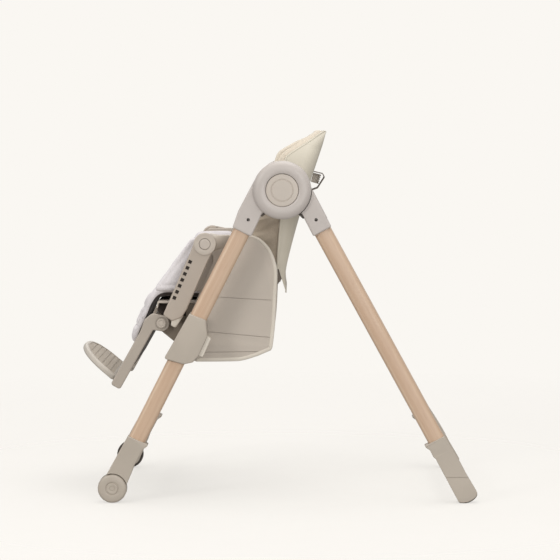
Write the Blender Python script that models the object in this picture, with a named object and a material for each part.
"""Folding baby high chair with round wooden legs, a height-adjustable bucket seat and a reclining back.

Metres, +Z up. The chair faces -Y, its left side is +X, and the origin lies on the floor in the middle of
the footprint. Side outlines are (y, z) points, and a leg's own frame has z along the leg, y at right
angles to it towards the rear and x across the chair. Each joint is an empty on its axis; everything that
moves with the joint is parented to that empty.
"""
import math

import bmesh
import bpy
from mathutils import Matrix, Vector

# ---------------------------------------------------------------- driving dimensions
GAP = 0.0003                 # clearance between pieces that touch
CENTRING = 0.00705           # moves the side outlines so that the footprint is centred on the origin
ROUND = 24                   # steps round a turned piece

LEG_X = 0.268                # plane of the legs, each side of the centre
LEG_WIDE = 0.038             # leg section, front to rear
LEG_THICK = 0.024            # leg section, across
FRONT_TILT = 63.2            # front leg above the floor, degrees
REAR_TILT = 61.3             # rear leg above the floor, degrees

AXLE = (-0.370, 0.0322)      # front wheel centre
WHEEL_R = 0.032
WHEEL_IN, WHEEL_OUT = 0.2612, 0.288

HUB = (0.0048, 0.6897)       # folding joint
HUB_R = 0.064                # outer ring of the front connector
HUB_DISC_R = 0.060           # inner disc of the rear connector
HUB_SPLIT = 0.262            # plane between the two connectors
HUB_IN, HUB_OUT = 0.2435, 0.300
HUB_RECESS_R = 0.0374
HUB_FLOOR_X = 0.272
HUB_FROM_FRONT = (0.038, 0.756)     # hub centre in the front leg's frame, from the axle
HUB_FROM_REAR = 0.034               # rear leg axis behind the hub centre
REAR_LENGTH = 0.805                 # hub to floor along the rear leg

FRONT_WOOD = (0.085, 0.672)         # ends of the wood along the front leg, from the axle
REAR_WOOD = (0.110, 0.722)          # ends of the wood along the rear leg, from the floor

CARRIAGE_X = (0.222, 0.287)
TUBE_R = 0.010
CROSS_TUBE = (-0.1987, 0.3600)

SHELL_X = (0.2000, 0.2135)          # side walls of the seat
PAN_Z = 0.4400
PAN_HALF = 0.1990

ARM_PIVOT = (-0.1666, 0.5698)
ARM_TILT = 66.4
ARM_X = (0.2145, 0.2365)

CALF_PIVOT = (-0.2651, 0.3909)
CALF_TILT = 60.7
CALF_END = (-0.3652, 0.2550)
CALF_ARM_X = (0.1845, 0.1995)

BACK_PIVOT = (-0.0550, 0.4550)
BACK_BOSS_R = 0.0050
BACK_TILT = 16.0                    # back behind the vertical, degrees

SIDES = (("left", 1), ("right", -1))

# name: (colour, roughness, metallic)
FINISHES = {
    "wood": ((0.62, 0.44, 0.30), 0.5, 0.0),
    "beige_plastic": ((0.47, 0.40, 0.33), 0.45, 0.0),
    "shell_plastic": ((0.42, 0.36, 0.29), 0.5, 0.0),
    "back_plastic": ((0.40, 0.36, 0.27), 0.5, 0.0),
    "button_plastic": ((0.50, 0.44, 0.38), 0.4, 0.0),
    "dark_plastic": ((0.03, 0.03, 0.03), 0.5, 0.0),
    "rubber": ((0.05, 0.045, 0.04), 0.8, 0.0),
    "steel": ((0.55, 0.55, 0.55), 0.35, 1.0),
    "liner_fabric": ((0.62, 0.58, 0.57), 0.9, 0.0),
    "webbing": ((0.45, 0.40, 0.34), 0.9, 0.0),
}


# ---------------------------------------------------------------- scene helpers
def clear_scene():
    for obj in list(bpy.data.objects):
        bpy.data.objects.remove(obj, do_unlink=True)


def finish_material(name):
    if name in bpy.data.materials:
        return bpy.data.materials[name]
    colour, roughness, metallic = FINISHES[name]
    mat = bpy.data.materials.new(name)
    mat.use_nodes = True
    shader = mat.node_tree.nodes["Principled BSDF"]
    shader.inputs["Base Color"].default_value = (*colour, 1.0)
    shader.inputs["Roughness"].default_value = roughness
    shader.inputs["Metallic"].default_value = metallic
    return mat


def joint(name, y, z, parent=None, x=0.0):
    """Empty on a joint's axis; y and z are in the side outline."""
    empty = bpy.data.objects.new(name, None)
    empty.empty_display_size = 0.03
    bpy.context.scene.collection.objects.link(empty)
    empty.location = (x, y + CENTRING, z)
    if parent:
        empty.parent = parent
        empty.matrix_parent_inverse = parent.matrix_world.inverted()
    bpy.context.view_layer.update()
    return empty


def leg_frame(tilt_from_vertical, y, z):
    """Frame with z along a leg that leans towards +Y by the angle, and its origin at (y, z)."""
    return Matrix.Translation((0, y, z)) @ Matrix.Rotation(-math.radians(tilt_from_vertical), 4, "X")


def new_object(name, bm, parent, frame, side):
    """Mesh object from bm, built for the left side, in the parent's space."""
    bm.transform(frame or Matrix.Identity(4))
    if side < 0:
        bmesh.ops.scale(bm, vec=(-1, 1, 1), verts=bm.verts)
    bm.transform(parent.matrix_world.inverted() @ Matrix.Translation((0, CENTRING, 0)))
    bmesh.ops.recalc_face_normals(bm, faces=bm.faces)
    mesh = bpy.data.meshes.new(name)
    bm.to_mesh(mesh)
    bm.free()
    obj = bpy.data.objects.new(name, mesh)
    bpy.context.scene.collection.objects.link(obj)
    obj.parent = parent
    return obj


def piece(name, bm, finish, parent, frame=None, side=1, bevel=0.0, segments=1):
    """One named piece of the chair."""
    obj = new_object(name, bm, parent, frame, side)
    obj.data.materials.append(finish_material(finish))
    obj.data.shade_smooth()
    obj.data.set_sharp_from_angle(angle=math.radians(35))
    if bevel:
        modifier = obj.modifiers.new("soft_edges", "BEVEL")
        modifier.width = bevel
        modifier.segments = segments
        modifier.limit_method = "ANGLE"
        modifier.angle_limit = math.radians(40)
    return obj


def combine(obj, bm, operation, frame=None, side=1, solver="EXACT"):
    """Joins or cuts obj with the closed shape bm."""
    tool = new_object(f"{obj.name}.{operation.lower()}", bm, obj.parent, frame, side)
    tool.hide_render = True
    tool.display_type = "WIRE"
    modifier = obj.modifiers.new(operation.lower(), "BOOLEAN")
    modifier.operation = operation
    modifier.solver = solver
    modifier.object = tool


# ---------------------------------------------------------------- outlines
def arc(centre, radius, start, end, steps=8):
    """Points on an arc, angles in degrees from the first axis towards the second."""
    points = []
    for k in range(steps + 1):
        angle = math.radians(start + (end - start) * k / steps)
        points.append((centre[0] + radius * math.cos(angle), centre[1] + radius * math.sin(angle)))
    return points


def rounded(corners, steps=2):
    """Outline through (a, b) points and (a, b, radius) corners; a corner becomes an arc of its radius."""
    outline = []
    for index, (a, b, *rest) in enumerate(corners):
        if not rest:
            outline.append((a, b))
            continue
        here = Vector((a, b))
        radius = rest[0]
        before = (Vector(corners[index - 1][:2]) - here).normalized()
        after = (Vector(corners[(index + 1) % len(corners)][:2]) - here).normalized()
        half = before.angle(after) / 2
        centre = here + (before + after).normalized() * (radius / math.sin(half))
        first = here + before * (radius / math.tan(half)) - centre
        last = here + after * (radius / math.tan(half)) - centre
        start = math.degrees(math.atan2(first.y, first.x))
        turn = math.degrees(math.atan2(last.y, last.x)) - start
        turn = (turn + 180) % 360 - 180
        outline.extend(arc(centre, radius, start, start + turn, steps))
    return outline


def oval(width, thickness, steps=20, power=2.5):
    """Superellipse (x, y) section: thickness across, width front to rear."""
    points = []
    for k in range(steps):
        angle = 2 * math.pi * (k + 0.5) / steps
        c, s = math.cos(angle), math.sin(angle)
        points.append((math.copysign(abs(c) ** (2 / power), c) * thickness / 2,
                       math.copysign(abs(s) ** (2 / power), s) * width / 2))
    return points


# ---------------------------------------------------------------- solids
def skin(rings):
    """Closed solid through equal rings of 3-D points, with flat ends."""
    bm = bmesh.new()
    loops = [[bm.verts.new(point) for point in ring] for ring in rings]
    bm.faces.new(reversed(loops[0]))
    bm.faces.new(loops[-1])
    for low, high in zip(loops, loops[1:]):
        for k, vert in enumerate(low):
            nxt = (k + 1) % len(low)
            bm.faces.new((vert, low[nxt], high[nxt], high[k]))
    bmesh.ops.recalc_face_normals(bm, faces=bm.faces)
    return bm


def prism(outline, x0, x1):
    """Side outline (y, z) pulled across the chair from x0 to x1."""
    return skin([[(x, y, z) for y, z in outline] for x in (x0, x1)])


def rod(section, z0, z1, x=0.0, y=0.0):
    """Section (x, y) run along a leg from z0 to z1."""
    return skin([[(x + a, y + b, z) for a, b in section] for z in (z0, z1)])


def turned(profile, centre=(0.0, 0.0), closed=False, steps=ROUND):
    """Solid turned about an axis along X through centre; profile is (x, radius) points."""
    bm = bmesh.new()
    rings = []
    for x, radius in profile:
        if radius == 0:
            rings.append([bm.verts.new((x, *centre))] * steps)
        else:
            rings.append([bm.verts.new((x, a, b)) for a, b in arc(centre, radius, 0, 360, steps)[:-1]])
    pairs = list(zip(rings, rings[1:]))
    if closed:
        pairs.append((rings[-1], rings[0]))
    for low, high in pairs:
        for k in range(steps):
            nxt = (k + 1) % steps
            bm.faces.new(dict.fromkeys((low[k], low[nxt], high[nxt], high[k])))
    bmesh.ops.recalc_face_normals(bm, faces=bm.faces)
    return bm


def cylinder(centre, radius, x0, x1, steps=ROUND):
    return turned([(x0, 0), (x0, radius), (x1, radius), (x1, 0)], centre, steps=steps)


def block(low, high):
    """Box between two corners."""
    return prism([(low[1], low[2]), (high[1], low[2]), (high[1], high[2]), (low[1], high[2])],
                 low[0], high[0])


# ---------------------------------------------------------------- frames
FRONT = leg_frame(90 - FRONT_TILT, *AXLE)
REAR_LEAN = math.radians(90 - REAR_TILT)
REAR_FLOOR = (HUB[0] + REAR_LENGTH * math.sin(REAR_LEAN) + HUB_FROM_REAR * math.cos(REAR_LEAN), 0.0)
REAR = leg_frame(REAR_TILT - 90, *REAR_FLOOR)
ARM = leg_frame(90 - ARM_TILT, *ARM_PIVOT)
CALF = leg_frame(90 - CALF_TILT, *CALF_END)
BACK = leg_frame(BACK_TILT, *BACK_PIVOT)
HUB_IN_REAR = (-HUB_FROM_REAR, REAR_LENGTH)


# ---------------------------------------------------------------- front frame
def front_leg(side_name, side, body):
    section = oval(LEG_WIDE, LEG_THICK)
    piece(f"front_leg_{side_name}", rod(section, *FRONT_WOOD, x=LEG_X), "wood", body, FRONT, side)


def leg_socket(obj, z0, z1, frame, side, clearance=GAP):
    section = oval(LEG_WIDE + 2 * clearance, LEG_THICK + 2 * clearance)
    combine(obj, rod(section, z0, z1, x=LEG_X), "DIFFERENCE", frame, side)


def front_hub(side_name, side, body):
    """Socket for the front leg that ends in the outer ring of the folding joint."""
    arm = rounded([(-0.0225, 0.634, 0.003), (0.0235, 0.634, 0.003), (0.0225, 0.690), (0.030, 0.712),
                   (0.0, 0.745), (-0.026, 0.752), (-0.0275, 0.672, 0.010)])
    hub = piece(f"front_hub_{side_name}", prism(arm, 0.2525, 0.2850), "beige_plastic", body, FRONT, side,
                bevel=0.005)
    step_x = HUB_SPLIT + 0.0012
    rear_disc_space = [(0.230, 0), (0.230, 0.0615), (step_x, 0.0615), (step_x, 0.050), (0.320, 0.050),
                       (0.320, 0)]
    combine(hub, turned(rear_disc_space, HUB_FROM_FRONT), "DIFFERENCE", FRONT, side)
    ring = [(HUB_SPLIT + GAP, 0.0065), (HUB_FLOOR_X, 0.0065), (HUB_FLOOR_X, HUB_RECESS_R),
            (0.2960, HUB_RECESS_R), (0.2988, 0.0405), (HUB_OUT, 0.0470), (0.2985, 0.0550),
            (0.2940, 0.0610), (0.2870, HUB_R), (HUB_SPLIT + GAP, HUB_R)]
    combine(hub, turned(ring, HUB_FROM_FRONT, closed=True), "UNION", FRONT, side, "MANIFOLD")
    leg_socket(hub, 0.620, FRONT_WOOD[1] + GAP, FRONT, side)
    combine(hub, cylinder((0.001, 0.6645), 0.0032, 0.2825, 0.2900, 12), "DIFFERENCE", FRONT, side)
    piece(f"front_hub_screw_{side_name}", cylinder((0.001, 0.6645), 0.0029, 0.2828, 0.2842, 12), "steel", body,
          FRONT, side)


def hub_pivot(side_name, side, body):
    """Headed pin that joins the two connectors, under the fold button."""
    profile = [(0.2405, 0), (0.2405, 0.0110), (0.2432, 0.0110), (0.2432, 0.0060), (0.2723, 0.0060),
               (0.2723, 0.0100), (0.2755, 0.0100), (0.2755, 0)]
    piece(f"hub_pivot_{side_name}", turned(profile, HUB, steps=20), "steel", body, side=side)


def wheel_housing(side_name, side, body):
    """Foot of the front leg: a cheek that holds the axle, under a socket for the leg."""
    outline = rounded([*arc((0.0, 0.0), 0.0260, 180, 355, 10), (0.0225, 0.0500, 0.020),
                       (0.0205, 0.0700, 0.020), (0.0215, 0.1080, 0.006), (0.0270, 0.1180, 0.002),
                       (0.0265, 0.1225, 0.002), (-0.0215, 0.1200, 0.003)])
    housing = piece(f"wheel_housing_{side_name}", prism(outline, 0.2520, 0.2860), "beige_plastic", body,
                    FRONT, side, bevel=0.004)
    combine(housing, cylinder((0.0, 0.0), WHEEL_R + 0.0015, WHEEL_IN - 0.0007, 0.3000), "DIFFERENCE",
            FRONT, side)
    combine(housing, cylinder((0.0, 0.0), 0.0043, 0.2400, 0.2700, 16), "DIFFERENCE", FRONT, side)
    combine(housing, cylinder((0.0, 0.062), TUBE_R + GAP, 0.2400, 0.2600, 20), "DIFFERENCE", FRONT, side)
    leg_socket(housing, FRONT_WOOD[0] - GAP, 0.140, FRONT, side)
    axle = [(0.2485, 0), (0.2485, 0.0070), (0.2517, 0.0070), (0.2517, 0.0040), (0.2815, 0.0040),
            (0.2815, 0)]
    piece(f"wheel_axle_{side_name}", turned(axle, steps=16), "steel", body, FRONT, side)


def front_wheel(side_name, side, body):
    """Small solid wheel with a ring groove round its hub and a bore for the axle."""
    spin = joint(f"wheel_spin_{side_name}", *AXLE, parent=body, x=side * LEG_X)
    profile = [(WHEEL_OUT + 0.0006, 0), (WHEEL_OUT, 0.0120), (WHEEL_OUT - 0.0010, 0.0126),
               (WHEEL_OUT - 0.0010, 0.0142), (WHEEL_OUT, 0.0148), (WHEEL_OUT - 0.0005, 0.0265),
               (WHEEL_OUT - 0.0040, 0.0310), (WHEEL_OUT - 0.0070, WHEEL_R), (WHEEL_IN + 0.0040, WHEEL_R),
               (WHEEL_IN, 0.0290), (WHEEL_IN, 0.0043), (0.2818, 0.0043), (0.2818, 0)]
    piece(f"front_wheel_{side_name}", turned(profile, AXLE), "beige_plastic", spin, side=side)


def crossbar(name, centre, frame, half_length, body):
    piece(name, cylinder(centre, TUBE_R, -half_length, half_length, 20), "steel", body, frame)


# ---------------------------------------------------------------- rear frame
def rear_hub(side_name, side, body):
    """Inner disc of the folding joint with the socket for the rear leg."""
    arm = rounded([(-0.0225, 0.683, 0.003), (0.0225, 0.683, 0.003), (0.0245, 0.800), (-0.034, 0.790),
                   (-0.0215, 0.735, 0.012)])
    hub = piece(f"rear_hub_{side_name}", prism(arm, HUB_IN + 0.002, 0.2850), "beige_plastic", body, REAR,
                side, bevel=0.005)
    step_x = HUB_SPLIT - 0.0012
    ring_space = [(step_x, 0), (step_x, HUB_R + 0.0014), (0.320, HUB_R + 0.0014), (0.320, 0)]
    combine(hub, turned(ring_space, HUB_IN_REAR), "DIFFERENCE", REAR, side)
    combine(hub, cylinder(HUB_IN_REAR, 0.0300, 0.2300, 0.2700), "DIFFERENCE", REAR, side)
    disc = [(HUB_IN, 0.0065), (HUB_SPLIT - GAP, 0.0065), (HUB_SPLIT - GAP, HUB_DISC_R),
            (HUB_IN + 0.003, HUB_DISC_R), (HUB_IN, HUB_DISC_R - 0.003)]
    combine(hub, turned(disc, HUB_IN_REAR, closed=True), "UNION", REAR, side, "MANIFOLD")
    leg_socket(hub, 0.670, REAR_WOOD[1] + GAP, REAR, side)
    combine(hub, cylinder((0.0, 0.7125), 0.0032, 0.2825, 0.2900, 12), "DIFFERENCE", REAR, side)
    piece(f"rear_hub_screw_{side_name}", cylinder((0.0, 0.7125), 0.0029, 0.2828, 0.2842, 12), "steel", body,
          REAR, side)


def rear_boot(side_name, side, body):
    """Moulded foot of the rear leg, with a rubber sole on the floor."""
    outline = rounded([(-0.0222, 0.0190, 0.003), (-0.0163, 0.0130, 0.002), (0.0083, -0.0004, 0.004),
                       (0.0228, 0.0120, 0.007), (0.0205, 0.1250, 0.010), (0.0190, 0.1590, 0.003),
                       (-0.0285, 0.1605, 0.002), (-0.0285, 0.1560, 0.001), (-0.0235, 0.1470, 0.002),
                       (-0.0240, 0.1300, 0.002), (-0.0215, 0.1240, 0.002)])
    boot = piece(f"rear_boot_{side_name}", prism(outline, 0.2520, 0.2840), "beige_plastic", body, REAR,
                 side, bevel=0.003)
    combine(boot, block((0.2300, -0.5, -0.1), (0.3100, 0.5, 0.0035)), "DIFFERENCE",
            Matrix.Translation((0, REAR_FLOOR[0], 0)), side)
    combine(boot, cylinder((-0.006, 0.085), TUBE_R + GAP, 0.2400, 0.2600, 20), "DIFFERENCE", REAR, side)
    leg_socket(boot, REAR_WOOD[0] - GAP, 0.180, REAR, side)
    sole = [(-0.0170, 0.0032), (-0.0150, 0.0), (0.0050, 0.0), (0.0075, 0.0032)]
    piece(f"rear_sole_{side_name}", prism(sole, 0.2560, 0.2800), "rubber", body,
          Matrix.Translation((0, REAR_FLOOR[0], 0)), side)


def rear_frame(body):
    for side_name, side in SIDES:
        section = oval(LEG_WIDE, LEG_THICK)
        piece(f"rear_leg_{side_name}", rod(section, *REAR_WOOD, x=LEG_X), "wood", body, REAR, side)
        rear_hub(side_name, side, body)
        rear_boot(side_name, side, body)
    crossbar("rear_crossbar", (-0.006, 0.085), REAR, 0.2595, body)


def fold_button(side_name, side, body):
    """Push button in the hub's recess; it travels inwards to free the rear legs."""
    press = joint(f"fold_press_{side_name}", *HUB, parent=body, x=side * HUB_OUT)
    rim, skirt = 0.0360, 0.0300
    profile = [(0.2970, 0), (0.2970, 0.0230), (0.2964, 0.0240), (0.2970, 0.0250), (0.2966, 0.0335),
               (0.2945, rim), (0.2800, rim), (0.2800, skirt), (0.2900, skirt), (0.2900, 0)]
    piece(f"fold_button_{side_name}", turned(profile, HUB), "button_plastic", press, side=side)


def front_frame(body):
    for side_name, side in SIDES:
        front_leg(side_name, side, body)
        front_hub(side_name, side, body)
        hub_pivot(side_name, side, body)
        wheel_housing(side_name, side, body)
        front_wheel(side_name, side, body)
        fold_button(side_name, side, body)
    crossbar("front_crossbar", (0.0, 0.062), FRONT, 0.2595, body)


# ---------------------------------------------------------------- seat
def carriage(side_name, side, body):
    """Sleeve that slides on the front leg and carries the seat, with its squeeze lever."""
    outline = rounded([(-0.0215, 0.4225, 0.003), (-0.0240, 0.3740, 0.030), (-0.0255, 0.3380, 0.020),
                       (-0.0275, 0.3085, 0.005), (0.0175, 0.3170, 0.006), (0.0335, 0.3300, 0.006),
                       (0.0385, 0.3480, 0.004), (0.0365, 0.3950, 0.006), (0.0170, 0.4260, 0.003)])
    sleeve = piece(f"carriage_{side_name}", prism(outline, *CARRIAGE_X), "beige_plastic", body, FRONT, side,
                   bevel=0.004)
    leg_socket(sleeve, 0.280, 0.460, FRONT, side, clearance=0.0005)
    combine(sleeve, block((0.2440, 0.0262, 0.3475), (0.2820, 0.0600, 0.3960)), "DIFFERENCE", FRONT, side)
    combine(sleeve, cylinder(CROSS_TUBE, TUBE_R + GAP, 0.2100, 0.2465, 20), "DIFFERENCE", side=side)
    squeeze = joint(f"height_squeeze_{side_name}", -0.175, 0.360, parent=body, x=side * LEG_X)
    lever = rounded([(0.0320, 0.3490, 0.001), (0.0475, 0.3495, 0.003), (0.0455, 0.3945, 0.003),
                     (0.0320, 0.3950, 0.001)])
    piece(f"height_lever_{side_name}", prism(lever, 0.2450, 0.2810), "button_plastic", squeeze, FRONT, side,
          bevel=0.0015)


def side_shell(side_name, side, body):
    """Side wall of the bucket, from the armrest's ear down to the base."""
    outline = rounded([(-0.215, 0.3160, 0.010), (-0.190, 0.3062, 0.020), (-0.090, 0.3080, 0.080),
                       (-0.0160, 0.3330, 0.010), (-0.0115, 0.4300, 0.100), (-0.0035, 0.4960, 0.030),
                       (-0.0200, 0.5390, 0.060), (-0.0420, 0.5740, 0.050), (-0.0850, 0.5890, 0.030),
                       (-0.1740, 0.5890, 0.010), (-0.1880, 0.5780, 0.010), (-0.1880, 0.5600, 0.010),
                       (-0.1500, 0.5440, 0.006), (-0.1495, 0.5280, 0.010), (-0.2060, 0.4000, 0.030)],
                      steps=3)
    wall = piece(f"seat_shell_{side_name}", prism(outline, *SHELL_X), "shell_plastic", body, side=side)
    combine(wall, cylinder(CROSS_TUBE, TUBE_R + GAP, 0.1900, 0.2300, 20), "DIFFERENCE", side=side)
    combine(wall, cylinder(BACK_PIVOT, BACK_BOSS_R, 0.1795, 0.2060, 12), "UNION", side=side)


def seat_pan(body):
    """Floor of the bucket, with a lip turned down at the front."""
    outline = [(-0.2760, 0.4250), (-0.2730, 0.4250), (-0.2710, PAN_Z - 0.004), (-0.0370, PAN_Z - 0.004),
               (-0.0370, PAN_Z), (-0.2740, PAN_Z)]
    piece("seat_pan", prism(outline, -PAN_HALF, PAN_HALF), "shell_plastic", body)


def seat_base(body):
    """Tray under the pan that closes the bucket and carries the leg rest's brackets."""
    outline = rounded([(-0.2100, 0.3400, 0.006), (-0.1880, 0.3100, 0.020), (-0.0900, 0.3120, 0.080),
                       (-0.0200, 0.3370, 0.010), (-0.0165, 0.4250), (-0.2100, 0.3900)])
    base = piece("seat_base", prism(outline, -PAN_HALF, PAN_HALF), "shell_plastic", body)
    inner = rounded([(-0.2065, 0.3420, 0.005), (-0.1870, 0.3135, 0.018), (-0.0905, 0.3155, 0.078),
                     (-0.0235, 0.3395, 0.008), (-0.0200, 0.4500), (-0.2065, 0.4100)])
    combine(base, prism(inner, 0.0035 - PAN_HALF, PAN_HALF - 0.0035), "DIFFERENCE")
    bracket = rounded([(-0.2300, 0.3430, 0.010), (-0.2000, 0.3420), (-0.2000, 0.3880), (-0.2300, 0.3960, 0.010),
                       *arc(CALF_PIVOT, 0.0150, 70, 230, 8)])
    for side in (1, -1):
        combine(base, prism(bracket, 0.1710, 0.1835), "UNION", side=side)
        combine(base, cylinder(CALF_PIVOT, 0.0053, 0.1650, 0.1900, 12), "DIFFERENCE", side=side)
    combine(base, cylinder(CROSS_TUBE, TUBE_R + GAP, -0.2200, 0.2200, 20), "DIFFERENCE")


def seat_padding(body):
    """Plain solids for the soft liner: the cushion and the two side pads."""
    cushion = rounded([(-0.2820, 0.4490, 0.008), (-0.0450, 0.4440, 0.006), (-0.0450, 0.4700, 0.008),
                       (-0.2820, 0.4780, 0.010)])
    piece("seat_cushion", prism(cushion, -0.1630, 0.1630), "liner_fabric", body, bevel=0.006)
    side_pad = rounded([(-0.2700, 0.4450, 0.008), (-0.0900, 0.4450, 0.008), (-0.0900, 0.5650, 0.020),
                        (-0.1200, 0.5900, 0.020), (-0.2020, 0.5900, 0.020), (-0.2700, 0.4720, 0.010)])
    for side_name, side in SIDES:
        piece(f"side_pad_{side_name}", prism(side_pad, 0.1680, 0.1985), "liner_fabric", body, side=side,
              bevel=0.006)


def harness_on_seat(body):
    """Crotch strap with the buckle, and the two waist straps."""
    crotch = rounded([(-0.2050, 0.4795), (-0.1560, 0.4795, 0.002), (-0.1560, 0.4830),
                      (-0.2050, 0.4830)])
    piece("crotch_strap", prism(crotch, -0.0130, 0.0130), "webbing", body)
    buckle = rounded([(-0.1550, 0.4780, 0.002), (-0.1080, 0.4780, 0.002), (-0.1080, 0.4880, 0.003),
                      (-0.1550, 0.4900, 0.003)])
    piece("buckle", prism(buckle, -0.0210, 0.0210), "dark_plastic", body, bevel=0.0015)
    for side_name, side in SIDES:
        strap = prism([(-0.1450, 0.4795), (-0.1200, 0.4795), (-0.1200, 0.4815), (-0.1450, 0.4815)],
                      0.0216, 0.1600)
        piece(f"waist_strap_{side_name}", strap, "webbing", body, side=side)


def armrest(side_name, side, body):
    """Folding armrest that the tray would clip to, with square adjustment holes and a release button."""
    swing = joint(f"armrest_pivot_{side_name}", *ARM_PIVOT, parent=body, x=side * ARM_X[0])
    outline = rounded([*arc((0.0, 0.0), 0.0240, -15, 195, 9), (-0.0222, -0.0300, 0.010),
                       (-0.0222, -0.1820, 0.006), (-0.0010, -0.1860, 0.002), (0.0030, -0.1980, 0.003),
                       (0.0150, -0.1980, 0.004), (0.0215, -0.1600, 0.010), (0.0215, -0.0300, 0.010)])
    arm = piece(f"armrest_{side_name}", prism(outline, *ARM_X), "shell_plastic", swing, ARM, side,
                bevel=0.003)
    hole_count, hole_pitch, hole_size, first_hole = 7, 0.0145, 0.0080, -0.0494
    for k in range(hole_count):
        z = first_hole - hole_pitch * k
        hole = block((0.2335, -0.0140 - hole_size / 2, z - hole_size / 2),
                     (0.2400, -0.0140 + hole_size / 2, z + hole_size / 2))
        combine(arm, hole, "DIFFERENCE", ARM, side)
    combine(arm, cylinder((0.0, 0.0), 0.0128, 0.2280, 0.2400, 24), "DIFFERENCE", ARM, side)
    press = joint(f"armrest_press_{side_name}", *ARM_PIVOT, parent=swing, x=side * ARM_X[1])
    button = [(0.2325, 0), (0.2325, 0.0123), (0.2380, 0.0123), (0.2388, 0.0115), (0.2388, 0)]
    piece(f"armrest_button_{side_name}", turned(button, steps=24), "button_plastic", press, ARM, side)


def seat(body):
    for side_name, side in SIDES:
        carriage(side_name, side, body)
        side_shell(side_name, side, body)
        armrest(side_name, side, body)
    tube = cylinder(CROSS_TUBE, TUBE_R, -0.2460, 0.2460, 20)
    piece("seat_cross_tube", tube, "steel", body)
    seat_pan(body)
    seat_base(body)
    seat_padding(body)
    harness_on_seat(body)


# ---------------------------------------------------------------- leg rest
def leg_rest(parent):
    """Swinging calf support with the folding foot plate at its end."""
    swing = joint("leg_rest_pivot", *CALF_PIVOT, parent=parent)
    pivot = (0.0208, 0.1675)
    outline = rounded([(-0.0120, -0.0080, 0.006), (0.0120, -0.0080, 0.006), (0.0120, 0.1450, 0.003),
                       *arc(pivot, 0.0180, -80, 95, 8), (-0.0080, 0.1780, 0.014),
                       (-0.0165, 0.1560, 0.010), (-0.0120, 0.1300, 0.030)])
    frame = piece("leg_rest_frame", prism(outline, *CALF_ARM_X), "beige_plastic", swing, CALF, bevel=0.003)
    combine(frame, prism(outline, -CALF_ARM_X[1], -CALF_ARM_X[0]), "UNION", CALF)
    panel = rounded([(-0.0060, 0.0400, 0.001), (-0.0020, 0.0400, 0.001), (-0.0020, 0.1560, 0.001),
                     (-0.0060, 0.1560, 0.001)])
    combine(frame, prism(panel, -0.1900, 0.1900), "UNION", CALF)
    for side in (1, -1):
        combine(frame, cylinder(pivot, 0.0053, 0.1800, 0.2100, 12), "DIFFERENCE", CALF, side)
        combine(frame, cylinder((0.0, 0.0), 0.0043, 0.1800, 0.1940, 12), "DIFFERENCE", CALF, side)
    pad = rounded([(-0.0066, 0.0900, 0.003), (-0.0066, 0.1480, 0.003), (-0.0240, 0.1500, 0.008),
                   (-0.0300, 0.1300, 0.010), (-0.0190, 0.0880, 0.004)])
    piece("calf_pad", prism(pad, -0.1500, 0.1500), "liner_fabric", swing, CALF, bevel=0.004)
    for side_name, side in SIDES:
        pin = [(0.1720, 0), (0.1720, 0.0050), (0.1998, 0.0050), (0.1998, 0.0100), (0.2030, 0.0100),
               (0.2030, 0.0075), (0.2022, 0.0065), (0.2022, 0)]
        piece(f"leg_rest_pin_{side_name}", turned(pin, CALF_PIVOT, steps=20), "steel", parent, side=side)
    foot_plate(swing)


def foot_plate(parent):
    """Ribbed plate for the feet, hinged at the leg rest's end so that it folds up against the calf."""
    fold = joint("foot_plate_hinge", *CALF_END, parent=parent)
    plate_angle = 40.3
    frame = leg_frame(plate_angle - 90, *CALF_END)
    half, depth, thick = 0.1500, 0.1075, 0.0055
    plan = rounded([(-half, 0.0240, 0.004), (half, 0.0240, 0.004), (half, depth, 0.035),
                    (-half, depth, 0.035)], steps=6)
    slab = skin([[(x, y, z) for x, z in plan] for y in (-thick, thick)])
    plate = piece("foot_plate", slab, "back_plastic", fold, frame, bevel=0.003)
    ear = rounded([(-0.0080, -0.0080, 0.007), (0.0080, -0.0080, 0.007), (0.0045, 0.0320), (-0.0045, 0.0320)])
    for side in (1, -1):
        combine(plate, prism(ear, 0.1300, 0.1450), "UNION", frame, side)
        combine(plate, cylinder((0.0, 0.0), 0.0043, 0.1200, 0.1500, 12), "DIFFERENCE", frame, side)
    piece("foot_plate_pin", cylinder(CALF_END, 0.0040, -0.1930, 0.1930, 12), "steel", parent)


# ---------------------------------------------------------------- backrest
BACK_RISE = (0.022, 0.070, 0.150, 0.215, 0.275, 0.310, 0.340, 0.362, 0.380, 0.392)


def back_rear(z):
    """Rear face of the shell behind the pivot line, flaring out at the bottom."""
    return 0.0525 + 0.028 * max(0.0, 1 - z / 0.11) ** 3 - 0.006 * math.sin(math.pi * min(z / 0.36, 1.0))


def back_wing(z):
    """Depth of the side wings; they grow towards the shoulders and slope back to the top."""
    grow = 0.026 + 0.042 * min(z / 0.24, 1.0)
    return min(grow, 0.004 + 0.066 * max(0.0, (0.394 - z) / 0.080))


def back_half(z):
    """Half width of the shell, drawn in at the shoulders into a round top."""
    drawn_in = max(0.0, (z - 0.200) / 0.204)
    return 0.1880 * (1 - drawn_in ** 3) ** 0.42


def scoop(stations, wall):
    """Bucket-shaped wall through (z, rear, half width, wing depth) stations."""
    rings = []
    for z, rear, half, wing in stations:
        corner = min(0.030, wing * 0.8)
        outer = [(half, rear - wing)] + arc((half - corner, rear - corner), corner, 0, 90, 4)
        inner_corner = max(corner - wall, 0.001)
        centre = (half - wall - inner_corner, rear - wall - inner_corner)
        inner = arc(centre, inner_corner, 90, 0, 4) + [(half - wall, rear - wing)]
        right_outer = [(-x, y) for x, y in reversed(outer)]
        right_inner = [(-x, y) for x, y in reversed(inner)]
        rings.append([(x, y, z) for x, y in outer + right_outer + right_inner + inner])
    return skin(rings)


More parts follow.
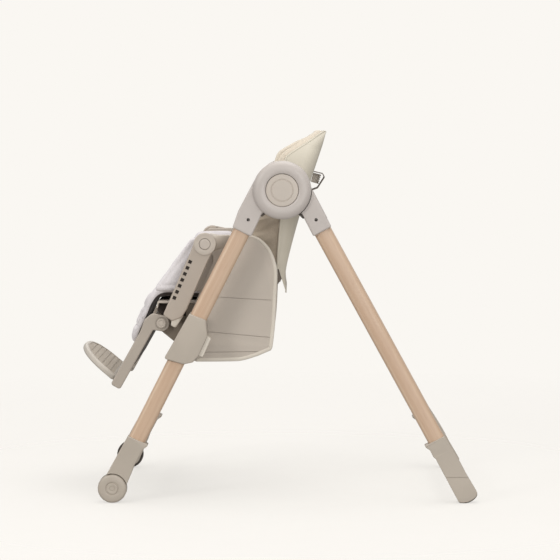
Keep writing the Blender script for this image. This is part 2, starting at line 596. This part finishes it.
def back_lug(obj, side):
    """Ear that reaches from the wing to the pivot rod."""
    outline = arc((0.0, 0.0), 0.0130, 110, 300, 8) + [(0.0300, 0.0200), (0.0480, 0.0450), (0.0400, 0.0800),
                                                     (0.0150, 0.0500)]
    combine(obj, prism(outline, 0.1815, 0.1875), "UNION", BACK, side)
    combine(obj, cylinder((0.0, 0.0), 0.0054, 0.1700, 0.2000, 12), "DIFFERENCE", BACK, side)


def backrest(parent):
    """Reclining back: the moulded shell, its liner, the shoulder straps and the recline handle."""
    recline = joint("back_pivot", *BACK_PIVOT, parent=parent)
    shell_wall, liner_wall, liner_gap, liner_proud = 0.0040, 0.0160, 0.0006, 0.0170
    stations = [(z, back_rear(z), back_half(z), back_wing(z)) for z in BACK_RISE]
    shell = piece("back_shell", scoop(stations, shell_wall), "back_plastic", recline, BACK)
    for side in (1, -1):
        back_lug(shell, side)
    inset = shell_wall + liner_gap
    liner = [(z, rear - inset, half - inset, wing - inset + liner_proud)
             for z, rear, half, wing in stations[1:]]
    top_z, top_rear, top_half, top_wing = liner[-1]
    liner[-1] = (top_z + 0.0060, top_rear, top_half - 0.006, top_wing)
    piece("back_liner", scoop(liner, liner_wall), "liner_fabric", recline, BACK)
    for side_name, side in SIDES:
        strap_y = back_rear(0.16) - inset - liner_wall - 0.0030
        strap = block((0.0400, strap_y - 0.0020, 0.0650), (0.0650, strap_y, 0.2700))
        piece(f"shoulder_strap_{side_name}", strap, "webbing", recline, BACK, side)
    slide = joint("recline_handle_slide", 0.0860, 0.7134, parent=recline)
    face = back_rear(0.330) + 2 * GAP
    handle = rounded([(face, 0.2480), (face + 0.0180, 0.2560, 0.003), (face + 0.0180, 0.2900, 0.003),
                      (face, 0.2920)])
    piece("recline_handle", prism(handle, -0.0550, 0.0550), "dark_plastic", slide, BACK, bevel=0.0015)


def build():
    clear_scene()
    chassis = joint("front_frame", *AXLE)
    front_frame(chassis)
    fold = joint("fold_axis", *HUB, parent=chassis)
    rear_frame(fold)
    lift = joint("seat_lift", *CROSS_TUBE, parent=chassis)
    seat(lift)
    leg_rest(lift)
    backrest(lift)


build()
